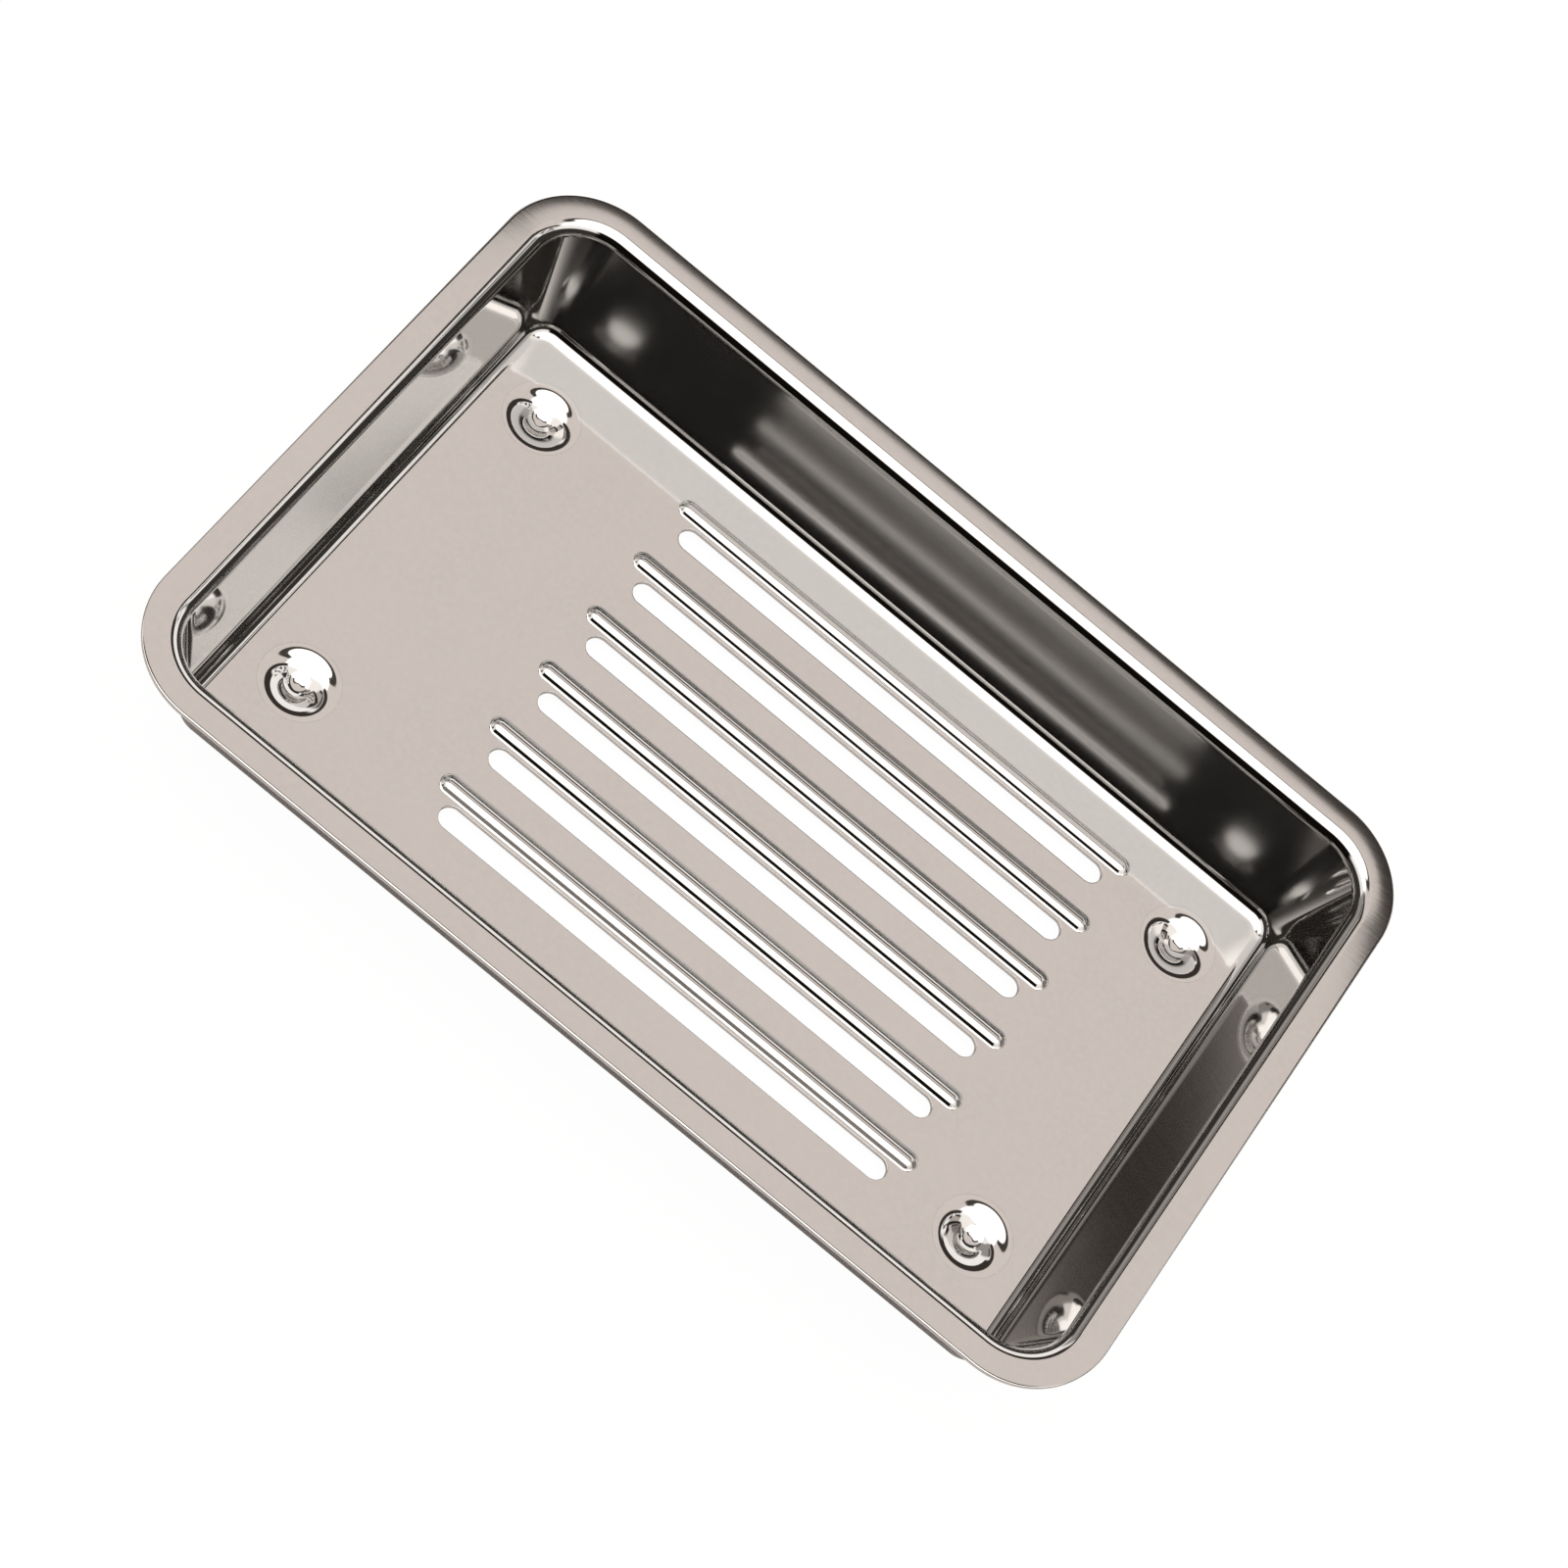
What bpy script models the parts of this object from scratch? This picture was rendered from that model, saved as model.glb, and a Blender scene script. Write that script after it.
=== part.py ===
"""Pressed steel instrument tray that stands on four dished feet.

Units are metres, +Z is up, and X runs along the tray. The origin is under the middle of the tray, on the
surface that its feet stand on.
"""
import math

import bmesh
import bpy
from mathutils import Matrix, Vector

# Pan: one pressed sheet with a flat rim, sloping walls and a flat floor
TRAY_LENGTH = 0.200
TRAY_WIDTH = 0.134
TRAY_DEPTH = 0.0265
SHEET = 0.0009
RIM_WIDTH = 0.0068
WALL_RUN = 0.0058
RIM_BEND_RADIUS = 0.003
FLOOR_BEND_RADIUS = 0.003
FLOOR_CORNER_RADIUS = 0.0025

# Drain slots along the floor, each with a low raised rib behind it
ROW_PITCH = 0.015
SLOT_WIDTH = 0.0046
SLOT_MARGIN_LEFT = 0.0452
SLOT_MARGIN_RIGHT = 0.0311
SLOT_MARGIN_FRONT = 0.0180
RIB_MARGIN_REAR = 0.0090
RIB_WIDTH = 0.0037
RIB_HEIGHT = 0.0009
RIB_OVERRUN = 0.0034
RIB_FLANK_RUN = 0.0010
RIB_FOOT_RADIUS = 0.0007
RIB_CREST_RADIUS = 0.0007
SLOT_TO_RIB = 0.0008

# Dished feet: round cups let into the floor, hollow above and welded round the lip
FOOT_MARGIN_ENDS = 0.0127
FOOT_MARGIN_FRONT = 0.0197
FOOT_MARGIN_REAR = 0.0159
FOOT_DISH_RADIUS = 0.0070
FOOT_DISH_DEPTH = 0.0020
FOOT_FLAT_RADIUS = 0.0005
FOOT_LIP_BEND_RADIUS = 0.0075
FOOT_FLANGE = 0.0005
WELD_GAP = 0.0003

# Facets
CORNER_STEPS = 8
BEND_STEPS = 4
RIB_END_STEPS = 8
RIB_BEND_STEPS = 2
TURN_STEPS = 24
BOWL_STEPS = 6
LIP_STEPS = 4

# Sizes that follow from those above
FLOOR_TOP = FOOT_DISH_DEPTH + SHEET
RIM_TOP = FLOOR_TOP + TRAY_DEPTH
WALL_ANGLE = math.atan2(TRAY_DEPTH, WALL_RUN)
FLOOR_TANGENT = FLOOR_BEND_RADIUS * math.tan(WALL_ANGLE / 2)
BORDER = RIM_WIDTH + WALL_RUN
CORNER_RADIUS = BORDER + FLOOR_TANGENT + FLOOR_CORNER_RADIUS
FLOOR_LENGTH = TRAY_LENGTH - 2 * BORDER
FLOOR_WIDTH = TRAY_WIDTH - 2 * BORDER
RIB_OFFSET = SLOT_WIDTH / 2 + SLOT_TO_RIB + RIB_WIDTH / 2
ROWS_SPAN = FLOOR_WIDTH - SLOT_MARGIN_FRONT - RIB_OFFSET - RIB_MARGIN_REAR
SLOT_ROWS = 1 + math.floor(ROWS_SPAN / ROW_PITCH)
FOOT_RADIUS = FOOT_DISH_RADIUS + FOOT_FLANGE


def clear_scene():
    for item in list(bpy.data.objects):
        bpy.data.objects.remove(item, do_unlink=True)


def steel(name, colour, roughness):
    """A bare steel material."""
    material = bpy.data.materials.new(name)
    material.use_nodes = True
    shader = material.node_tree.nodes["Principled BSDF"]
    shader.inputs["Base Color"].default_value = (*colour, 1.0)
    shader.inputs["Metallic"].default_value = 1.0
    shader.inputs["Roughness"].default_value = roughness
    return material


def add_object(name, bm, material):
    """Turn a bmesh into a smooth-shaded object."""
    mesh = bpy.data.meshes.new(name)
    bm.to_mesh(mesh)
    bm.free()
    mesh.materials.append(material)
    mesh.shade_smooth()
    mesh.set_sharp_from_angle(angle=math.radians(35))
    item = bpy.data.objects.new(name, mesh)
    bpy.context.collection.objects.link(item)
    return item


def bent(start, corners, end, steps):
    """Points along a folded line; each corner is (x, z, bend radius) and becomes an arc."""
    points = [Vector(start)]
    path = [Vector(start)] + [Vector(corner[:2]) for corner in corners] + [Vector(end)]
    for before, corner, after, (_, _, radius) in zip(path, path[1:], path[2:], corners):
        back = (before - corner).normalized()
        ahead = (after - corner).normalized()
        half = back.angle(ahead) / 2
        tangent = radius / math.tan(half)
        centre = corner + (back + ahead).normalized() * radius / math.sin(half)
        first = corner + back * tangent - centre
        turn = first.angle_signed(corner + ahead * tangent - centre)
        for step in range(steps + 1):
            points.append(centre + Matrix.Rotation(-turn * step / steps, 2) @ first)
    points.append(Vector(end))
    return points


def turned(name, profile, location, material):
    """A solid turned about the vertical axis from a closed (radius, height) outline."""
    bm = bmesh.new()
    ring = [bm.verts.new((radius, 0, height)) for radius, height in profile]
    edges = [bm.edges.new(pair) for pair in zip(ring, ring[1:])]
    if profile[0][0] > 0:
        edges.append(bm.edges.new((ring[-1], ring[0])))
    bmesh.ops.spin(bm, geom=ring + edges, cent=(0, 0, 0), axis=(0, 0, 1), angle=math.tau,
                   steps=TURN_STEPS, use_merge=True)
    bmesh.ops.remove_doubles(bm, verts=bm.verts, dist=1e-6)
    bmesh.ops.recalc_face_normals(bm, faces=bm.faces)
    item = add_object(name, bm, material)
    item.location = location
    return item


def edges_of(verts):
    """The edges of these vertices, each one once and always in the same order."""
    return list(dict.fromkeys(edge for vert in verts for edge in vert.link_edges))


def stadium(bm, centre, half_length, radius, height):
    """A closed outline with two round ends, made from a circle that is pulled apart along X."""
    segments = 2 * RIB_END_STEPS
    turn = Matrix.Rotation(math.pi / segments, 4, "Z")
    made = bmesh.ops.create_circle(bm, segments=segments, radius=radius, matrix=turn)
    for vert in made["verts"]:
        vert.co += Vector((centre[0] + math.copysign(half_length, vert.co.x), centre[1], height))
    return edges_of(made["verts"])


def add_rib(bm, centre, half_length):
    """Raise one rib from the floor and return the outline of its foot."""
    half_width = RIB_WIDTH / 2
    foot = (half_width, FLOOR_TOP, RIB_FOOT_RADIUS)
    crest = (half_width - RIB_FLANK_RUN, FLOOR_TOP + RIB_HEIGHT, RIB_CREST_RADIUS)
    reach = half_width + RIB_FOOT_RADIUS
    profile = bent((reach, FLOOR_TOP), [foot, crest], (0, FLOOR_TOP + RIB_HEIGHT), RIB_BEND_STEPS)[1:-1]
    outlines = [stadium(bm, centre, half_length, radius, height) for radius, height in profile]
    for lower, upper in zip(outlines, outlines[1:]):
        bmesh.ops.bridge_loops(bm, edges=lower + upper)
    bmesh.ops.edgeloop_fill(bm, edges=outlines[-1])
    return outlines[0]


def slot_rows():
    """Centre and half length, between the end centres, of each slot."""
    left = -FLOOR_LENGTH / 2 + SLOT_MARGIN_LEFT + SLOT_WIDTH / 2
    right = FLOOR_LENGTH / 2 - SLOT_MARGIN_RIGHT - SLOT_WIDTH / 2
    front = -FLOOR_WIDTH / 2 + SLOT_MARGIN_FRONT
    return [((left + right) / 2, front + row * ROW_PITCH, (right - left) / 2) for row in range(SLOT_ROWS)]


def foot_places():
    """Name and position of each foot."""
    across = FLOOR_LENGTH / 2 - FOOT_MARGIN_ENDS
    front = FOOT_MARGIN_FRONT - FLOOR_WIDTH / 2
    rear = FLOOR_WIDTH / 2 - FOOT_MARGIN_REAR
    return [(f"{end}_{side}", (x, y)) for end, x in (("left", -across), ("right", across))
            for side, y in (("front", front), ("rear", rear))]


def make_pan(material):
    """Sweep the rim and walls round the tray, then fill the floor round its ribs, slots and holes."""
    bm = bmesh.new()
    inner = BORDER + FLOOR_TANGENT
    rim_bend = (RIM_WIDTH, RIM_TOP, RIM_BEND_RADIUS)
    floor_bend = (BORDER, FLOOR_TOP, FLOOR_BEND_RADIUS)
    profile = bent((0, RIM_TOP), [rim_bend, floor_bend], (inner, FLOOR_TOP), BEND_STEPS)[:-1]
    across = TRAY_LENGTH / 2 - CORNER_RADIUS
    along = TRAY_WIDTH / 2 - CORNER_RADIUS
    chain = [bm.verts.new((TRAY_LENGTH / 2 - depth, along, height)) for depth, height in profile]
    edges = [bm.edges.new(pair) for pair in zip(chain, chain[1:])]
    sides = (((across, along), (-2 * across, 0)), ((-across, along), (0, -2 * along)),
             ((-across, -along), (2 * across, 0)), ((across, -along), (0, 2 * along)))
    for centre, side in sides:
        swept = bmesh.ops.spin(bm, geom=edges, cent=(*centre, 0), axis=(0, 0, 1), angle=math.pi / 2,
                               steps=CORNER_STEPS)
        ends = [item for item in swept["geom_last"] if isinstance(item, bmesh.types.BMEdge)]
        pulled = bmesh.ops.extrude_edge_only(bm, edges=ends)["geom"]
        moved = [item for item in pulled if isinstance(item, bmesh.types.BMVert)]
        bmesh.ops.translate(bm, verts=moved, vec=(*side, 0))
        edges = [item for item in pulled if isinstance(item, bmesh.types.BMEdge)]
    bmesh.ops.remove_doubles(bm, verts=bm.verts, dist=1e-6)

    middle = FLOOR_TOP + TRAY_DEPTH / 2
    outlines = [edge for edge in bm.edges if edge.is_boundary and edge.verts[0].co.z < middle]
    for x, y, half_length in slot_rows():
        rib_half = half_length + RIB_OVERRUN - (RIB_WIDTH - SLOT_WIDTH) / 2
        outlines += stadium(bm, (x, y), half_length, SLOT_WIDTH / 2, FLOOR_TOP)
        outlines += add_rib(bm, (x, y + RIB_OFFSET), rib_half)
    for _, (x, y) in foot_places():
        hole = bmesh.ops.create_circle(bm, segments=TURN_STEPS, radius=FOOT_RADIUS + WELD_GAP,
                                       matrix=Matrix.Translation((x, y, FLOOR_TOP)))
        outlines += edges_of(hole["verts"])
    bmesh.ops.triangle_fill(bm, edges=outlines, use_beauty=True, normal=(0, 0, 1))
    bmesh.ops.recalc_face_normals(bm, faces=bm.faces)
    floor = next(face for face in bm.faces if face.calc_center_median().z < FLOOR_TOP + 1e-7)
    if floor.normal.z < 0:
        bmesh.ops.reverse_faces(bm, faces=bm.faces)
    pan = add_object("tray_pan", bm, material)
    sheet = pan.modifiers.new("sheet", "SOLIDIFY")
    sheet.thickness = SHEET
    sheet.offset = -1
    sheet.use_even_offset = True
    sheet.use_quality_normals = True
    return pan


def foot_section(depth):
    """A foot's wall this far under its upper face, from the middle out: flat, bowl, lip and flange."""
    reach = FOOT_DISH_RADIUS - FOOT_FLAT_RADIUS
    slope = 2 * math.atan(FOOT_DISH_DEPTH / reach)
    bowl = reach / math.sin(slope) - FOOT_LIP_BEND_RADIUS
    bowl_centre = FLOOR_TOP - FOOT_DISH_DEPTH + bowl
    lip_centre = FLOOR_TOP - FOOT_LIP_BEND_RADIUS
    lip = FOOT_LIP_BEND_RADIUS - depth
    points = [(0, FLOOR_TOP - FOOT_DISH_DEPTH - depth)]
    for step in range(BOWL_STEPS + 1):
        angle = slope * step / BOWL_STEPS
        points.append((FOOT_FLAT_RADIUS + (bowl + depth) * math.sin(angle),
                       bowl_centre - (bowl + depth) * math.cos(angle)))
    for step in range(1, LIP_STEPS + 1):
        angle = slope * (1 - step / LIP_STEPS)
        points.append((FOOT_DISH_RADIUS - lip * math.sin(angle), lip_centre + lip * math.cos(angle)))
    points.append((FOOT_RADIUS, FLOOR_TOP - depth))
    return points


def make_foot_cup(place, position, material):
    """Shallow round cup, as thick as the pan and level with its floor."""
    outline = foot_section(0) + foot_section(SHEET)[::-1]
    return turned(f"foot_cup_{place}", outline, (*position, 0), material)


clear_scene()
pan_steel = steel("pan_steel", (0.58, 0.55, 0.53), 0.18)
foot_steel = steel("foot_steel", (0.62, 0.60, 0.58), 0.12)
make_pan(pan_steel)
for foot_place, foot_position in foot_places():
    make_foot_cup(foot_place, foot_position, foot_steel)
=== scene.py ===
"""Looks for a pressed steel instrument tray that stands on four dished feet.

Everything is in metres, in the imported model's frame: X along the tray, Y across it, +Z up.
"""

import math

import bmesh
import bpy
from mathutils import Matrix, Quaternion, Vector


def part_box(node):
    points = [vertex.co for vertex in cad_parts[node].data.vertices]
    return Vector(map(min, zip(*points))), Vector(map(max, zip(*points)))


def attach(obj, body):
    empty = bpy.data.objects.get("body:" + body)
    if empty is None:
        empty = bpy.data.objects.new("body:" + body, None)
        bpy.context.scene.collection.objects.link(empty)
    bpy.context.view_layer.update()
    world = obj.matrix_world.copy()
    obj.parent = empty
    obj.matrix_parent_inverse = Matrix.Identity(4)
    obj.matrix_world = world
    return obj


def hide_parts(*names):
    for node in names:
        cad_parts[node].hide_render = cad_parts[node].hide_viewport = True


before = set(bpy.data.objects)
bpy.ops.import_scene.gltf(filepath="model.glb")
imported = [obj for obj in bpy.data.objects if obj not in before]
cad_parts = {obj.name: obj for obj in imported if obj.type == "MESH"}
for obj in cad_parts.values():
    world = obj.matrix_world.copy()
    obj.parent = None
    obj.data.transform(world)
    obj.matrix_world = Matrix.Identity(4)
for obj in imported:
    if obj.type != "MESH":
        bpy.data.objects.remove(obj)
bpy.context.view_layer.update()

# Camera: it stands over the front long side with a long lens, and is rolled so that the tray lies
# slantwise across the square frame.
pan_low, pan_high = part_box("tray_pan")
middle = (pan_low + pan_high) / 2

AIM_RIGHT = 0.0001
AIM_FRONT = 0.0049
CAMERA_AIM = Vector((middle.x + AIM_RIGHT, middle.y - AIM_FRONT, pan_high.z))
CAMERA_DISTANCE = 0.6707
CAMERA_HEADING = math.radians(2.44)
CAMERA_ELEVATION = math.radians(58.45)
CAMERA_ROLL = math.radians(41.6)
CAMERA_LENS = 90.8
SENSOR_WIDTH = 36
NEAREST_SEEN = 0.01

outward = Vector((-math.sin(CAMERA_HEADING) * math.cos(CAMERA_ELEVATION),
                  -math.cos(CAMERA_HEADING) * math.cos(CAMERA_ELEVATION),
                  math.sin(CAMERA_ELEVATION)))
camera = bpy.data.objects.new("camera", bpy.data.cameras.new("camera"))
camera.data.lens = CAMERA_LENS
camera.data.sensor_width = SENSOR_WIDTH
camera.data.clip_start = NEAREST_SEEN
camera.location = CAMERA_AIM + outward * CAMERA_DISTANCE
camera.rotation_mode = "QUATERNION"
camera.rotation_quaternion = (-outward).to_track_quat("-Z", "Y") @ Quaternion((0, 0, 1), CAMERA_ROLL)
bpy.context.collection.objects.link(camera)
bpy.context.scene.camera = camera
bpy.context.scene.view_settings.view_transform = "Standard"


# Light: a soft studio painted on the sky, which the polished steel mirrors. From the horizon up: dark,
# a band of window light, a dark wall at the back with a grey panel in a dark frame above it, and a bright
# ceiling. A grey wall stands on the left, and a dark patch in front, where a person would be.
class Field:
    """A socket of a node tree. Sums on it add Math nodes to its tree."""

    def __init__(self, tree, socket=None):
        self.tree = tree
        self.socket = socket

    def node(self, kind, settings, sockets, output=0):
        made = self.tree.nodes.new(kind)
        for name, value in settings.items():
            setattr(made, name, value)
        for key, value in sockets.items():
            if isinstance(value, Field):
                self.tree.links.new(value.socket, made.inputs[key])
            else:
                made.inputs[key].default_value = value
        return Field(self.tree, made.outputs[output])

    def math(self, operation, *values):
        return self.node("ShaderNodeMath", {"operation": operation}, dict(enumerate(values)))

    def __add__(self, other):
        return self.math("ADD", self, other)

    __radd__ = __add__

    def __sub__(self, other):
        return self.math("SUBTRACT", self, other)

    def __rsub__(self, other):
        return self.math("SUBTRACT", other, self)

    def __mul__(self, other):
        return self.math("MULTIPLY", self, other)

    __rmul__ = __mul__

    def step(self, low, high):
        """A soft step from 0 at low to 1 at high."""
        return self.node("ShaderNodeMapRange", {"interpolation_type": "SMOOTHSTEP"},
                         {"Value": self, "From Min": low, "From Max": high})

    def band(self, low, high, soft):
        """1 between low and high, with soft edges."""
        return self.step(low - soft, low + soft) * (1 - self.step(high - soft, high + soft))

    def blend(self, under, over):
        """One colour under, another over it where this field is 1."""
        return self.node("ShaderNodeMix", {"data_type": "RGBA"}, {0: self, 6: under, 7: over}, 2)


def rgb(red, green, blue):
    return (red, green, blue, 1)


world = bpy.data.worlds.new("studio")
world.use_nodes = True
world.node_tree.nodes.clear()
sky = Field(world.node_tree)
direction = sky.node("ShaderNodeTexCoord", {}, {}, "Generated")
split = sky.tree.nodes.new("ShaderNodeSeparateXYZ")
sky.tree.links.new(direction.socket, split.inputs[0])
east, north, up = [Field(sky.tree, split.outputs[axis]) for axis in range(3)]
elevation = up.math("ARCSINE", up) * math.degrees(1)
heading = east.math("ARCTAN2", east, north) * math.degrees(1)
away = heading.math("ABSOLUTE", heading)

CEILING = rgb(2.1, 2.05, 2.0)
HORIZON = rgb(0.05, 0.045, 0.04)
WINDOW = rgb(1.3, 1.26, 1.22)
BACK_WALL = rgb(0.05, 0.042, 0.036)
PANEL = rgb(0.92, 0.84, 0.79)
PANEL_FRAME = rgb(0.07, 0.06, 0.05)
SIDE_WALL = rgb(0.42, 0.39, 0.37)
PERSON = rgb(0.006, 0.005, 0.004)
PATCH_SCALE = 11.0
# Elevations and headings in degrees, as (from, to) or (from, to, softness)
WINDOW_FOOT = (16, 22)
WINDOW_SIDE = (44, 52)
WINDOW_SIDE_FOOT = (29, 34)
PATCH_DENSITY = (0.50, 0.56)
PATCH_HEIGHT = (33, 47, 2)
PATCH_HEADING = (30, 75, 3)
STREAK_HEIGHT = (42.5, 45, 0.5)
STREAK_HEADING = (-60, -36, 3)
SIDE_WALL_HEIGHT = (24, 54, 3)
SIDE_WALL_HEADING = (-80, -34, 4)
CEILING_FOOT = (47, 50)
PANEL_FOOT = 54.2
PANEL_EDGE = 0.15
BACK_WALL_HEIGHT = (40, PANEL_FOOT, PANEL_EDGE)
BACK_WALL_SIDE = (24, 30)
CORNICE_HEIGHT = (48, PANEL_FOOT, PANEL_EDGE)
CORNICE_SIDE = (70, 80)
PANEL_HEIGHT = (PANEL_FOOT, 65, PANEL_EDGE)
PANEL_SIDE = (60, 70)
PANEL_FRAME_HEIGHT = (64.6, 69.5, 0.3)
PERSON_SIDE = (140, 150)
PERSON_TOP = (44, 50)

blotch = sky.node("ShaderNodeTexNoise", {}, {"Vector": direction, "Scale": PATCH_SCALE, "Detail": 2.0}, 0)
room = elevation.step(*WINDOW_FOOT).blend(HORIZON, WINDOW)
room = (away.step(*WINDOW_SIDE) * (1 - elevation.step(*WINDOW_SIDE_FOOT))).blend(room, HORIZON)
patches = blotch.step(*PATCH_DENSITY) * elevation.band(*PATCH_HEIGHT) * heading.band(*PATCH_HEADING)
room = patches.blend(room, BACK_WALL)
streak = elevation.band(*STREAK_HEIGHT) * heading.band(*STREAK_HEADING)
room = (heading.band(*SIDE_WALL_HEADING) * elevation.band(*SIDE_WALL_HEIGHT)).blend(room, SIDE_WALL)
room = streak.blend(room, BACK_WALL)
colour = elevation.step(*CEILING_FOOT).blend(room, CEILING)
back = (1 - away.step(*BACK_WALL_SIDE)) * elevation.band(*BACK_WALL_HEIGHT)
colour = back.blend(colour, BACK_WALL)
cornice = (1 - away.step(*CORNICE_SIDE)) * elevation.band(*CORNICE_HEIGHT)
colour = cornice.blend(colour, BACK_WALL)
facing = 1 - away.step(*PANEL_SIDE)
colour = (facing * elevation.band(*PANEL_HEIGHT)).blend(colour, PANEL)
colour = (facing * elevation.band(*PANEL_FRAME_HEIGHT)).blend(colour, PANEL_FRAME)
colour = (away.step(*PERSON_SIDE) * (1 - elevation.step(*PERSON_TOP))).blend(colour, PERSON)
seen = sky.node("ShaderNodeLightPath", {}, {}, "Is Camera Ray")
colour = seen.blend(colour, rgb(1, 1, 1))
backdrop = sky.node("ShaderNodeBackground", {}, {"Color": colour, "Strength": 1.0})
sky.tree.links.new(backdrop.socket, sky.tree.nodes.new("ShaderNodeOutputWorld").inputs["Surface"])
bpy.context.scene.world = world

# Floor: a plain white table top that the tray stands on. It is one flat square of matt paint, which
# the camera sees mostly as a white glow, so that only a faint shadow shows on it.
FLOOR_SIZE = 6.0
TABLE_PAINT = rgb(0.75, 0.70, 0.68)
TABLE_GLOW = 1.03
GLOW_SHARE = 0.94

bm = bmesh.new()
bmesh.ops.create_grid(bm, x_segments=1, y_segments=1, size=FLOOR_SIZE / 2)
table_mesh = bpy.data.meshes.new("table_top")
bm.to_mesh(table_mesh)
bm.free()
table_paint = bpy.data.materials.new("white_table")
table_paint.use_nodes = True
table_paint.node_tree.nodes.clear()
paint = Field(table_paint.node_tree)
lit = paint.node("ShaderNodeBsdfDiffuse", {}, {"Color": TABLE_PAINT})
glow = paint.node("ShaderNodeEmission", {}, {"Color": rgb(1, 1, 1), "Strength": TABLE_GLOW})
seen = paint.node("ShaderNodeLightPath", {}, {}, "Is Camera Ray")
mixed = paint.node("ShaderNodeMixShader", {}, {0: seen * GLOW_SHARE, 1: lit, 2: glow})
paint.tree.links.new(mixed.socket, paint.tree.nodes.new("ShaderNodeOutputMaterial").inputs["Surface"])
table_mesh.materials.append(table_paint)
table_top = bpy.data.objects.new("table_top", table_mesh)
bpy.context.collection.objects.link(table_top)


# Pan: one sheet of stainless steel, pressed into a shallow dish with a flat rim. The floor is
# pierced with six drain slots, a low rib is embossed behind each, and four round holes take the feet.
SHEET = 0.0009
RIM_WIDTH = 0.0068
WALL_RUN = 0.0058
RIM_BEND_RADIUS = 0.003
FLOOR_BEND_RADIUS = 0.003
FLOOR_CORNER_RADIUS = 0.0025
EDGE_ROUNDING = 0.0002
RIM_HOLD = 0.0005
FLOOR_HOLD = 0.0008
BEND_STEPS = 18
CORNER_STEPS = 32
LONG_SIDE_STEPS = 56
SHORT_SIDE_STEPS = 32
EDGE_STEPS = 4

SLOT_ROWS = 6
ROW_PITCH = 0.015
SLOT_WIDTH = 0.0046
SLOT_MARGIN_LEFT = 0.0452
SLOT_MARGIN_RIGHT = 0.0311
SLOT_MARGIN_FRONT = 0.0180
SLOT_ROUNDING = 0.00012
RIB_WIDTH = 0.0037
RIB_HEIGHT = 0.0009
RIB_OVERRUN = 0.0034
RIB_FLANK_RUN = 0.0010
RIB_FOOT_RADIUS = 0.0007
RIB_CREST_RADIUS = 0.0019
RIB_END_STEPS = 32
RIB_BEND_STEPS = 8
SLOT_TO_RIB = 0.0008
RING_HOLD = 0.0001
FOOT_SEAM = 0.00002
FOOT_STEPS = 96
SHARP_ANGLE = math.radians(40)
MERGE_DISTANCE = 1e-6

rim_top = pan_high.z
floor_top = pan_low.z + SHEET
floor_low = pan_low.z
border = RIM_WIDTH + WALL_RUN
wall_angle = math.atan2(rim_top - floor_top, WALL_RUN)
floor_tangent = FLOOR_BEND_RADIUS * math.tan(wall_angle / 2)
corner_radius = border + floor_tangent + FLOOR_CORNER_RADIUS


def beside(start, end):
    """The unit vector to the right of a stretch of line."""
    along = (end - start).normalized()
    return Vector((along.y, -along.x))


def bent(start, corners, end, steps, depth=0.0):
    """Points along a folded line; each corner is (x, z, bend radius) and becomes an arc.

    The whole line lies this deep to its right, as the other face of a sheet does."""
    path = [Vector(start)] + [Vector(corner[:2]) for corner in corners] + [Vector(end)]
    points = [path[0] + beside(path[0], path[1]) * depth]
    for before, corner, after, (_, _, radius) in zip(path, path[1:], path[2:], corners):
        back = (before - corner).normalized()
        ahead = (after - corner).normalized()
        half = back.angle(ahead) / 2
        tangent = radius / math.tan(half)
        centre = corner + (back + ahead).normalized() * radius / math.sin(half)
        first = corner + back * tangent - centre
        turn = first.angle_signed(corner + ahead * tangent - centre)
        inward = math.copysign(1, beside(before, corner).dot(centre - corner))
        first *= 1 - inward * depth / radius
        for step in range(steps + 1):
            points.append(centre + Matrix.Rotation(-turn * step / steps, 2) @ first)
    points.append(path[-1] + beside(path[-2], path[-1]) * depth)
    return points


def quarter(centre, radius, start, steps):
    """A quarter circle of points from this start angle, anticlockwise."""
    turns = [start + math.pi / 2 * step / steps for step in range(steps + 1)]
    return [Vector((centre[0] + radius * math.cos(turn), centre[1] + radius * math.sin(turn)))
            for turn in turns]


def members(items, kind):
    """The items of one kind, in their order."""
    return [item for item in items if isinstance(item, kind)]


def stepped_in(bm, centre, half_length, section, segments):
    """Rings of faces that follow a (radius, height) section from a round-ended outline.

    Returns the edges of the first ring and of the last."""
    radius, height = section[0]
    turn = Matrix.Rotation(math.pi / segments, 4, "Z")
    made = bmesh.ops.create_circle(bm, segments=segments, radius=radius, matrix=turn)
    for vert in made["verts"]:
        vert.co += Vector((centre[0] + math.copysign(half_length, vert.co.x), centre[1], height))
    first = list(dict.fromkeys(edge for vert in made["verts"] for edge in vert.link_edges))
    edges = first
    for (outer, _), (inner, height) in zip(section, section[1:]):
        pulled = bmesh.ops.extrude_edge_only(bm, edges=edges)["geom"]
        for vert in members(pulled, bmesh.types.BMVert):
            hub = Vector((centre[0] + math.copysign(half_length, vert.co.x - centre[0]), centre[1], height))
            vert.co = hub + (vert.co - hub) * inner / outer
            vert.co.z = height
        edges = members(pulled, bmesh.types.BMEdge)
    return first, edges


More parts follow.
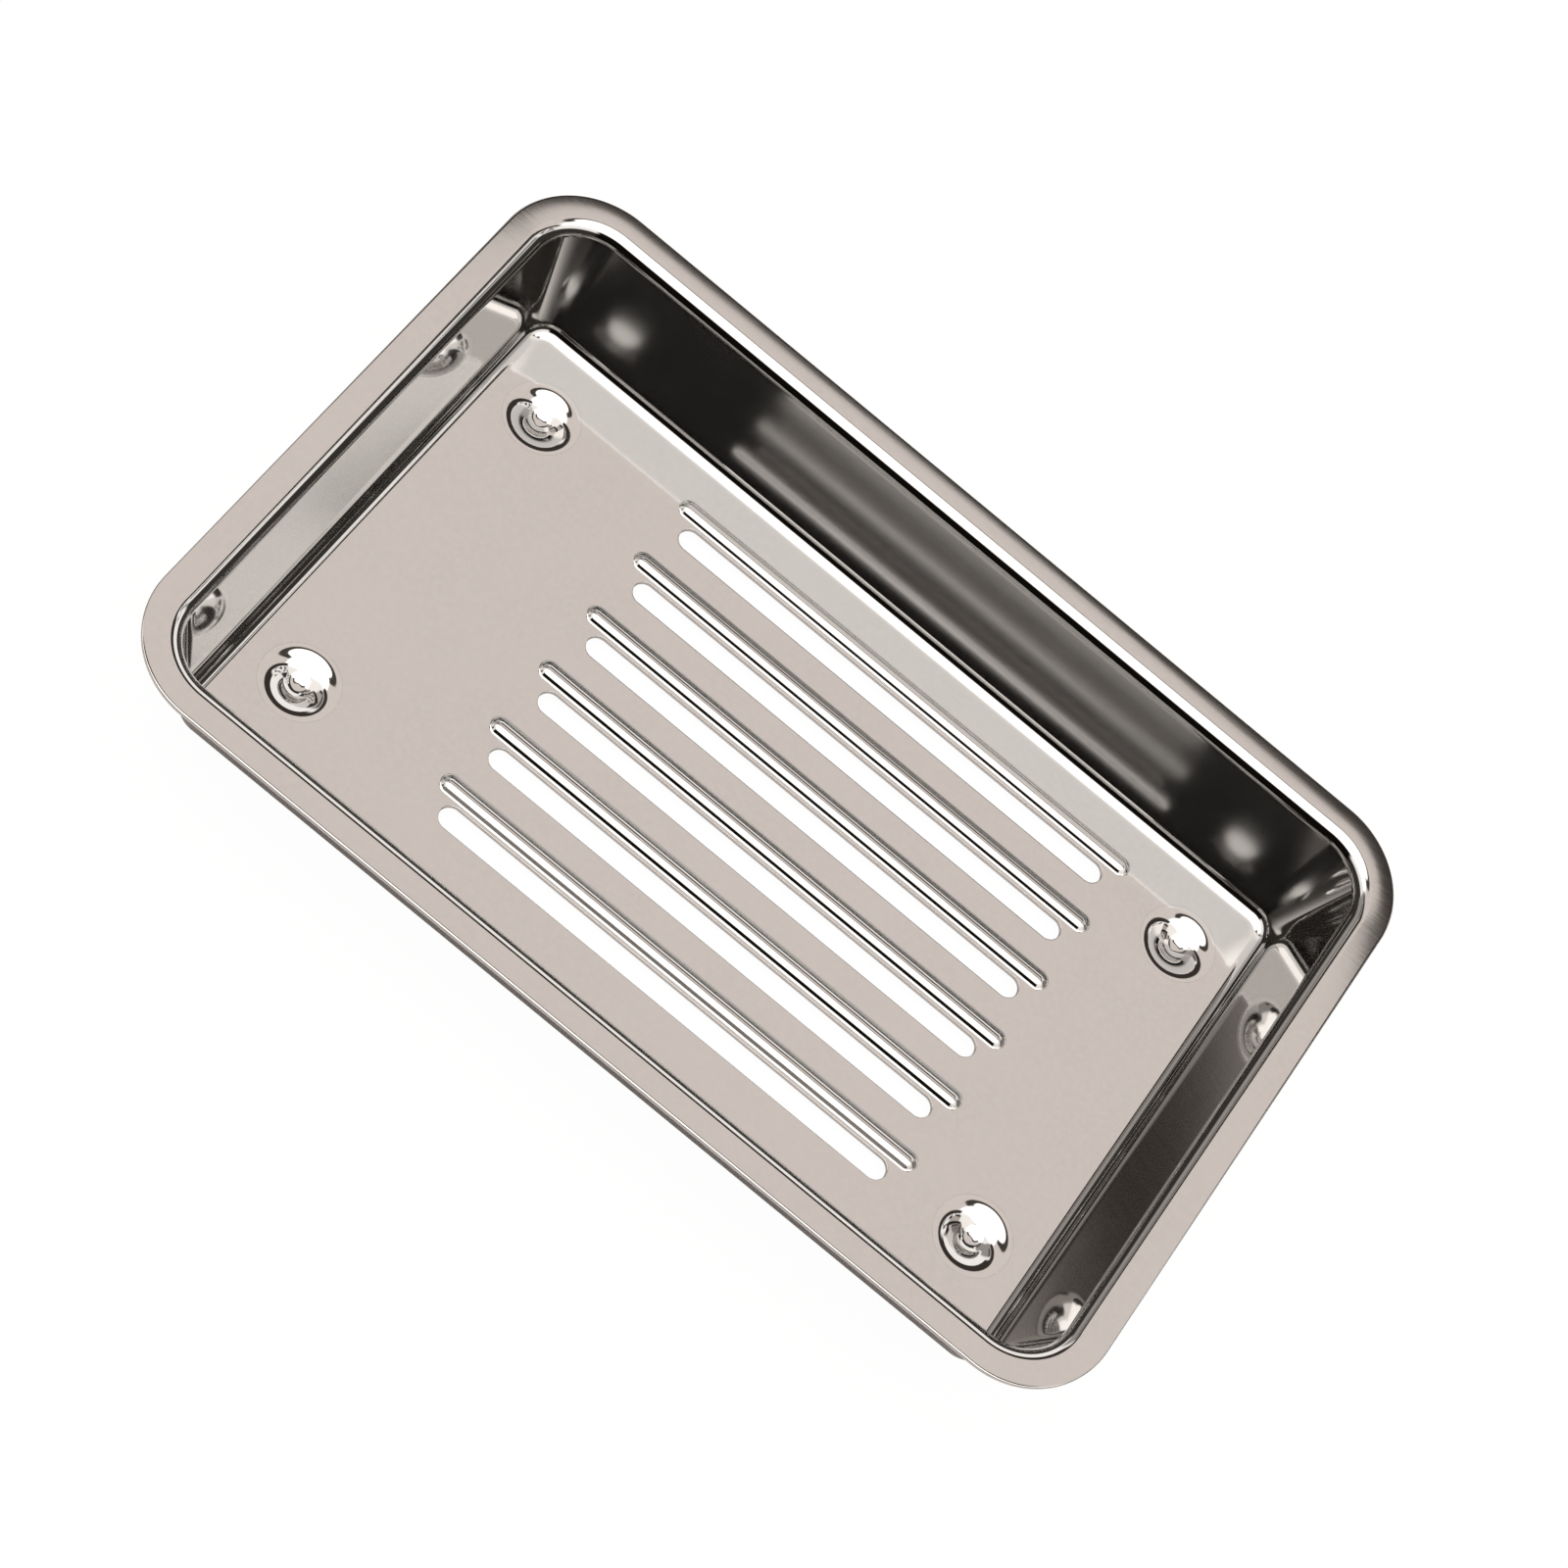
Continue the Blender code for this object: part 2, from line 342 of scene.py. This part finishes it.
def finished(name, bm, material):
    """Turn a bmesh into a smooth-shaded piece that rides on the tray."""
    mesh = bpy.data.meshes.new(name)
    bm.to_mesh(mesh)
    bm.free()
    mesh.materials.append(material)
    mesh.shade_smooth()
    mesh.set_sharp_from_angle(angle=SHARP_ANGLE)
    piece = bpy.data.objects.new(name, mesh)
    bpy.context.collection.objects.link(piece)
    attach(piece, "root")
    return piece


half_x = (pan_high.x - pan_low.x) / 2
half_y = (pan_high.y - pan_low.y) / 2
across = half_x - corner_radius
along = half_y - corner_radius
inner = border + floor_tangent + FLOOR_HOLD

bm = bmesh.new()
folds = [(RIM_WIDTH, rim_top, RIM_BEND_RADIUS), (border, floor_top, FLOOR_BEND_RADIUS)]
upper = bent((RIM_HOLD, rim_top), folds, (inner, floor_top), BEND_STEPS)
under = bent((RIM_HOLD, rim_top), folds, (inner, floor_top), BEND_STEPS, SHEET)
rim_low = rim_top - SHEET
edge = quarter((EDGE_ROUNDING, rim_top - EDGE_ROUNDING), EDGE_ROUNDING, math.pi / 2, EDGE_STEPS)
edge += quarter((EDGE_ROUNDING, rim_low + EDGE_ROUNDING), EDGE_ROUNDING, math.pi, EDGE_STEPS)
chain = [bm.verts.new((half_x - depth, along, height)) for depth, height in upper[::-1] + edge + under]
edges = [bm.edges.new(pair) for pair in zip(chain, chain[1:])]
sides = (((across, along), (-2 * across, 0), LONG_SIDE_STEPS),
         ((-across, along), (0, -2 * along), SHORT_SIDE_STEPS),
         ((-across, -along), (2 * across, 0), LONG_SIDE_STEPS),
         ((across, -along), (0, 2 * along), SHORT_SIDE_STEPS))
for centre, side, steps in sides:
    swept = bmesh.ops.spin(bm, geom=edges, cent=(*centre, 0), axis=(0, 0, 1), angle=math.pi / 2,
                           steps=CORNER_STEPS)
    edges = members(swept["geom_last"], bmesh.types.BMEdge)
    for _ in range(steps):
        pulled = bmesh.ops.extrude_edge_only(bm, edges=edges)["geom"]
        bmesh.ops.translate(bm, verts=members(pulled, bmesh.types.BMVert),
                            vec=(side[0] / steps, side[1] / steps, 0))
        edges = members(pulled, bmesh.types.BMEdge)
bmesh.ops.remove_doubles(bm, verts=bm.verts, dist=MERGE_DISTANCE)

middle_height = (floor_top + floor_low) / 2
open_edges = [edge for edge in bm.edges if edge.is_boundary]
upper_outlines = [edge for edge in open_edges if edge.verts[0].co.z > middle_height]
under_outlines = [edge for edge in open_edges if edge.verts[0].co.z < middle_height]
slot_left = -(half_x - border) + SLOT_MARGIN_LEFT + SLOT_WIDTH / 2
slot_right = half_x - border - SLOT_MARGIN_RIGHT - SLOT_WIDTH / 2
slot_middle = (slot_left + slot_right) / 2
slot_half = (slot_right - slot_left) / 2
rib_half = slot_half + RIB_OVERRUN - (RIB_WIDTH - SLOT_WIDTH) / 2
rib_offset = SLOT_WIDTH / 2 + SLOT_TO_RIB + RIB_WIDTH / 2
slot_edge = SLOT_WIDTH / 2 + SLOT_ROUNDING
cut = quarter((slot_edge, floor_top - SLOT_ROUNDING), SLOT_ROUNDING, math.pi / 2, EDGE_STEPS)
cut += quarter((slot_edge, floor_low + SLOT_ROUNDING), SLOT_ROUNDING, math.pi, EDGE_STEPS)
cut = [(slot_edge + RING_HOLD, floor_top)] + cut + [(slot_edge + RING_HOLD, floor_low)]
crest_height = floor_top + RIB_HEIGHT
rib_folds = [(RIB_WIDTH / 2, floor_top, RIB_FOOT_RADIUS),
             (RIB_WIDTH / 2 - RIB_FLANK_RUN, crest_height, RIB_CREST_RADIUS)]
rib_upper, rib_under = [bent((RIB_WIDTH / 2 + RIB_FOOT_RADIUS / 2 + RING_HOLD, floor_top), rib_folds,
                             (RING_HOLD / 2, crest_height), RIB_BEND_STEPS, depth) for depth in (0, -SHEET)]
for row in range(SLOT_ROWS):
    y = -(half_y - border) + SLOT_MARGIN_FRONT + row * ROW_PITCH
    first, last = stepped_in(bm, (slot_middle, y), slot_half, cut, RIB_END_STEPS)
    upper_outlines += first
    under_outlines += last
    for section, outlines in ((rib_upper, upper_outlines), (rib_under, under_outlines)):
        first, last = stepped_in(bm, (slot_middle, y + rib_offset), rib_half, section, RIB_END_STEPS)
        outlines += first
        bmesh.ops.edgeloop_fill(bm, edges=last)
foot_boxes = {f"{end}_{side}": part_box(f"foot_cup_{end}_{side}") for end in ("left", "right")
              for side in ("front", "rear")}
for low, high in foot_boxes.values():
    hole = (high.x - low.x) / 2 + FOOT_SEAM
    first, last = stepped_in(bm, (low + high) / 2, 0, [(hole, floor_top), (hole, floor_low)], FOOT_STEPS)
    upper_outlines += first
    under_outlines += last
for outlines in (upper_outlines, under_outlines):
    bmesh.ops.triangle_fill(bm, edges=outlines, use_beauty=True, normal=(0, 0, 1))
bmesh.ops.recalc_face_normals(bm, faces=bm.faces)


# The steel's scales and strengths. The pan's long walls are rougher than the rest and painted darker as
# painted shade:
# from where to where this fades in across the tray and out along it, and the heights it lies between.
SATIN_AND_SHADE_ACROSS = (0.0541, 0.0556)
SATIN_AND_SHADE_ALONG = (0.0850, 0.0885)
SATIN_AND_SHADE_HEIGHT = (0.0045, 0.0270, 0.001)
# Painted shade: the long walls' colour is darkened to this share of the steel's own colour.
PAINTED_SHADE_TONE = 0.6
SATIN_ROUGHNESS = 0.10
CLOUD_SCALE = 60.0
SPECK_SCALE = 900.0
WAVE_SCALE = 45.0
LINE_SCALE = (40, 1500, 1500)
CLOUD_TONE = 0.965
SPECK_TONE = 1.02
CLOUD_ROUGHNESS = 0.03
LINE_ROUGHNESS = 0.02
BUMP_STRENGTH = 0.5


def polished_steel(name, base, roughness, grain, waviness):
    """Mirror-polished stainless steel with faint buffing lines and slow waves in the sheet.

    Its long walls are rougher, and painted darker as painted shade that dims what they mirror; only the pan
    reaches that far from the middle."""
    material = bpy.data.materials.new(name)
    material.use_nodes = True
    material.node_tree.nodes.clear()
    metal = Field(material.node_tree)
    place = metal.node("ShaderNodeTexCoord", {}, {}, "Object")
    cloud = metal.node("ShaderNodeTexNoise", {}, {"Vector": place, "Scale": CLOUD_SCALE, "Detail": 4.0}, 0)
    speck = metal.node("ShaderNodeTexNoise", {}, {"Vector": place, "Scale": SPECK_SCALE, "Detail": 3.0}, 0)
    stretched = metal.node("ShaderNodeMapping", {}, {"Vector": place, "Scale": LINE_SCALE})
    lines = metal.node("ShaderNodeTexNoise", {}, {"Vector": stretched, "Scale": 1.0, "Detail": 2.0}, 0)
    slow = metal.node("ShaderNodeTexNoise", {}, {"Vector": place, "Scale": WAVE_SCALE, "Detail": 1.0}, 0)
    tone = cloud.step(0.3, 0.7)
    colour = tone.blend(rgb(*[channel * CLOUD_TONE for channel in base]), rgb(*base))
    colour = speck.step(0.2, 0.8).blend(colour, rgb(*[channel * SPECK_TONE for channel in base]))
    x, y, z = [metal.node("ShaderNodeSeparateXYZ", {}, {"Vector": place}, axis) for axis in "XYZ"]
    satin_and_painted_shade = (y * y).step(*[limit ** 2 for limit in SATIN_AND_SHADE_ACROSS]) * z.band(*SATIN_AND_SHADE_HEIGHT)
    satin_and_painted_shade = satin_and_painted_shade * (1 - (x * x).step(*[limit ** 2 for limit in SATIN_AND_SHADE_ALONG]))
    # Painted shade: the long walls' colour is darkened, which dims what they mirror.
    colour = satin_and_painted_shade.blend(colour, rgb(*[channel * PAINTED_SHADE_TONE for channel in base]))
    rough = roughness + cloud * CLOUD_ROUGHNESS + lines * LINE_ROUGHNESS
    rough = rough - (CLOUD_ROUGHNESS + LINE_ROUGHNESS) / 2 + satin_and_painted_shade * SATIN_ROUGHNESS
    bump = metal.node("ShaderNodeBump", {}, {"Strength": BUMP_STRENGTH, "Distance": waviness, "Height": slow})
    bump = metal.node("ShaderNodeBump", {}, {"Strength": BUMP_STRENGTH, "Distance": grain,
                                             "Height": lines * 0.5 + speck * 0.5, "Normal": bump})
    shader = metal.node("ShaderNodeBsdfPrincipled", {}, {"Base Color": colour, "Metallic": 1.0,
                                                         "Roughness": rough, "Normal": bump})
    metal.tree.links.new(shader.socket, metal.tree.nodes.new("ShaderNodeOutputMaterial").inputs["Surface"])
    return material


pan_steel = polished_steel("pan_steel", (0.64, 0.625, 0.61), 0.06, 0.000002, 0.00002)
pan = finished("pan", bm, pan_steel)
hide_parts("tray_pan")


# Dished feet: four shallow round cups of the same steel, let into holes in the floor and welded
# round the lip. The weld is ground level with the floor and polished over, so the lip barely shows.
FOOT_DISH_RADIUS = 0.0070
FOOT_DISH_DEPTH = 0.0020
FOOT_FLAT_RADIUS = 0.0005
FOOT_LIP_BEND_RADIUS = 0.0075
FOOT_FLANGE = 0.0005
BOWL_STEPS = 40
LIP_STEPS = 40
MERGE_TURNED = 1e-7


def foot_section(depth):
    """A foot's wall this far under its upper face, from the middle out: flat, bowl, lip and flange."""
    reach = FOOT_DISH_RADIUS - FOOT_FLAT_RADIUS
    slope = 2 * math.atan(FOOT_DISH_DEPTH / reach)
    bowl = reach / math.sin(slope) - FOOT_LIP_BEND_RADIUS
    bowl_centre = floor_top - FOOT_DISH_DEPTH + bowl
    lip_centre = floor_top - FOOT_LIP_BEND_RADIUS
    lip = FOOT_LIP_BEND_RADIUS - depth
    points = [(0, floor_top - FOOT_DISH_DEPTH - depth)]
    for step in range(BOWL_STEPS + 1):
        angle = slope * step / BOWL_STEPS
        points.append((FOOT_FLAT_RADIUS + (bowl + depth) * math.sin(angle),
                       bowl_centre - (bowl + depth) * math.cos(angle)))
    for step in range(1, LIP_STEPS + 1):
        angle = slope * (1 - step / LIP_STEPS)
        points.append((FOOT_DISH_RADIUS - lip * math.sin(angle), lip_centre + lip * math.cos(angle)))
    points.append((FOOT_DISH_RADIUS + FOOT_FLANGE, floor_top - depth))
    return points


foot_steel = polished_steel("foot_steel", (0.66, 0.645, 0.63), 0.05, 0.000001, 0.000006)
for place, (low, high) in foot_boxes.items():
    bm = bmesh.new()
    outline = foot_section(0) + foot_section(SHEET)[::-1]
    ring = [bm.verts.new((radius, 0, height)) for radius, height in outline]
    edges = [bm.edges.new(pair) for pair in zip(ring, ring[1:])]
    bmesh.ops.spin(bm, geom=ring + edges, cent=(0, 0, 0), axis=(0, 0, 1), angle=math.tau,
                   steps=FOOT_STEPS, use_merge=True)
    bmesh.ops.remove_doubles(bm, verts=bm.verts, dist=MERGE_TURNED)
    bmesh.ops.recalc_face_normals(bm, faces=bm.faces)
    bmesh.ops.translate(bm, verts=bm.verts, vec=((low.x + high.x) / 2, (low.y + high.y) / 2, 0))
    foot = finished(f"foot_cup_{place}_polished", bm, foot_steel)
    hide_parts(f"foot_cup_{place}")
